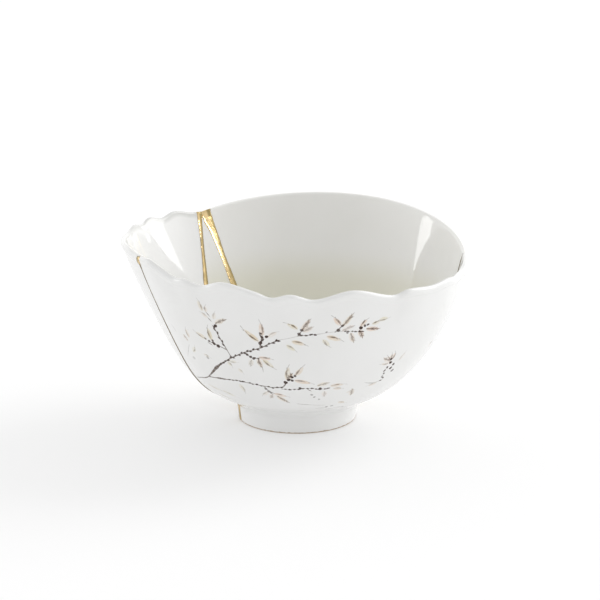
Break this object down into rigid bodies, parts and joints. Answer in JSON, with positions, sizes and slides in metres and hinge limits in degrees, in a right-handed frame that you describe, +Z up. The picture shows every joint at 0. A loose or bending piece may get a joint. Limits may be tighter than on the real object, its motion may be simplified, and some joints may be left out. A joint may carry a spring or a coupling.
{
  "type": "kintsugi bowl",
  "caption": "Deep footed porcelain bowl with a partly scalloped, partly plain rim, broken into shards and joined again with raised gold seams, a twig print on its front.",
  "frame": {"origin": "centre of the foot ring's underside", "axes": "+Z up out of the bowl's mouth, -Y towards the printed front shard, +X to the right seen from the front"},
  "size_m": [0.1905, 0.1913, 0.1053],
  "materials": {
    "printed_porcelain": "gloss white glaze with a sepia twig print on its outer face",
    "scalloped_porcelain": "gloss white glaze",
    "plain_porcelain": "gloss white glaze, slightly warm",
    "gold_seam": "hand-laid gold over lacquer, glossy, with small pores"
  },
  "bodies": {
    "root": {"front_shard": "printed_porcelain", "left_shard": "scalloped_porcelain", "wedge_shard": "plain_porcelain", "back_shard": "plain_porcelain", "gold_seams": "gold_seam"}
  },
  "joints": []
}
